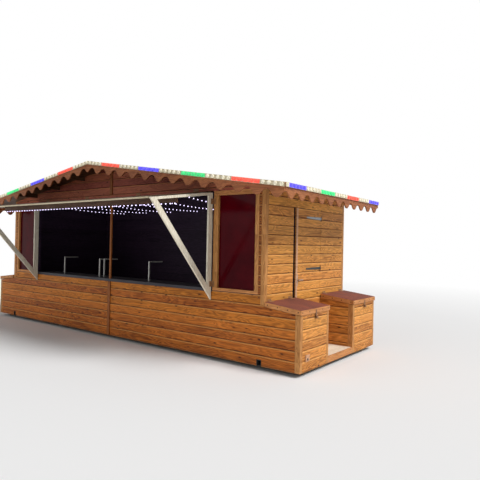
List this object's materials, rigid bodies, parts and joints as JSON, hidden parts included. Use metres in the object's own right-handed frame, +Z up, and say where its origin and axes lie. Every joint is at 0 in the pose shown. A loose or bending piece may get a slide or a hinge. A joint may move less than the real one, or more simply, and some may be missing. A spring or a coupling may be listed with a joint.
{
  "type": "market hut",
  "caption": "Wooden market hut with a serving opening, propped flap, storage boxes with lids, a side door and a scalloped low gable roof",
  "frame": {"origin": "on the ground under the middle of the base, at the foot of the middle foot", "axes": "+X along the front to the right as seen by a customer, +Y from the front into the hut, +Z up"},
  "size_m": [7.774, 3.6382, 3.013],
  "materials": {
    "dark_rubber": "matte",
    "galvanised": "dull zinc grey",
    "deck_wood": "worn brown boards",
    "cream_paint": "satin",
    "oiled_boards": "oiled orange-tan boards",
    "red_boards": "dark reddish-brown boards",
    "light_timber": "lighter oiled timber",
    "dark_timber": "dark stained timber",
    "red_gloss": "glossy burgundy",
    "grey_counter": "satin dark grey",
    "bright_tube": "brushed",
    "bright_handle": "satin",
    "cream_timber": "pale cream paint on timber",
    "lid_felt": "boards under reddish-brown mineral felt",
    "roof_timber": "boards under dark roofing felt",
    "dark_flashing": "matte",
    "scallop_wood": "dark oiled scalloped boards",
    "cream_rail": "pale lamp rails"
  },
  "bodies": {
    "hut": {"base_joists": "galvanised", "base_rails": "galvanised", "box_posts": "light_timber", "box_wall_left": "oiled_boards", "box_walls_right": "oiled_boards", "cabin_corner_posts": "light_timber", "corner_strips": "oiled_boards", "counter": "grey_counter", "counter_stands": "bright_tube", "door_frame": "dark_timber", "eave_boards": "scallop_wood", "entry_board": "oiled_boards", "entry_plate": "cream_paint", "feet": "dark_rubber", "floor_deck": "deck_wood", "fork_tubes": "galvanised", "front_gable": "red_boards", "front_wall": "oiled_boards", "hinge_plates": "galvanised", "lamp_rail_front": "cream_rail", "lamp_rails_side": "cream_rail", "left_wall": "oiled_boards", "middle_battens": "light_timber", "opening_post": "light_timber", "panel_frames": "light_timber", "panels": "red_gloss", "purlins": "light_timber", "rear_base_wall": "oiled_boards", "rear_wall": "oiled_boards", "ridge_cap": "dark_flashing", "right_wall_front": "oiled_boards", "right_wall_over_door": "oiled_boards", "right_wall_rear": "oiled_boards", "roof_boards": "roof_timber", "verge_boards": "scallop_wood"},
    "door": {"door": "oiled_boards", "door_straps": "galvanised", "door_handle": "bright_handle"},
    "lid_right_front": {"lid_right_front": "lid_felt", "lid_fittings_right_front": "galvanised"},
    "lid_right_rear": {"lid_right_rear": "lid_felt", "lid_fittings_right_rear": "galvanised"},
    "lid_left": {"lid_left": "lid_felt", "lid_fittings_left": "galvanised"},
    "flap": {"flap_panel": "cream_timber", "flap_long_rails": "cream_timber", "flap_cross_rails": "cream_timber", "light_rail": "cream_timber", "flap_hinges": "galvanised"},
    "bracket_right": {"bracket_right": "cream_timber", "bracket_hinges_right": "galvanised"},
    "bracket_left": {"bracket_left": "cream_timber", "bracket_hinges_left": "galvanised"}
  },
  "joints": [
    {"name": "door_hinge", "type": "hinge", "parent": "hut", "child": "door", "pos_m": [3.2665, 0.355, 1.195], "axis": [0, 0, 1], "range_deg": [0, 90]},
    {"name": "lid_right_front_hinge", "type": "hinge", "parent": "hut", "child": "lid_right_front", "pos_m": [3.2665, -0.814, 0.925], "axis": [0, -1, 0], "range_deg": [0, 85]},
    {"name": "lid_right_rear_hinge", "type": "hinge", "parent": "hut", "child": "lid_right_rear", "pos_m": [3.2665, 0.789, 0.925], "axis": [0, -1, 0], "range_deg": [0, 85]},
    {"name": "lid_left_hinge", "type": "hinge", "parent": "hut", "child": "lid_left", "pos_m": [-3.2665, 0, 0.925], "axis": [0, 1, 0], "range_deg": [0, 85]},
    {"name": "flap_hinge", "type": "hinge", "parent": "hut", "child": "flap", "pos_m": [0, -1.2065, 2.448], "axis": [-1, 0, 0], "range_deg": [0, 6]},
    {"name": "bracket_right_hinge", "type": "hinge", "parent": "hut", "child": "bracket_right", "pos_m": [2.341, -1.2065, 1.6], "axis": [0, 0, 1], "range_deg": [0, 90]},
    {"name": "bracket_left_hinge", "type": "hinge", "parent": "hut", "child": "bracket_left", "pos_m": [-2.341, -1.2065, 1.6], "axis": [0, 0, -1], "range_deg": [0, 90]}
  ]
}
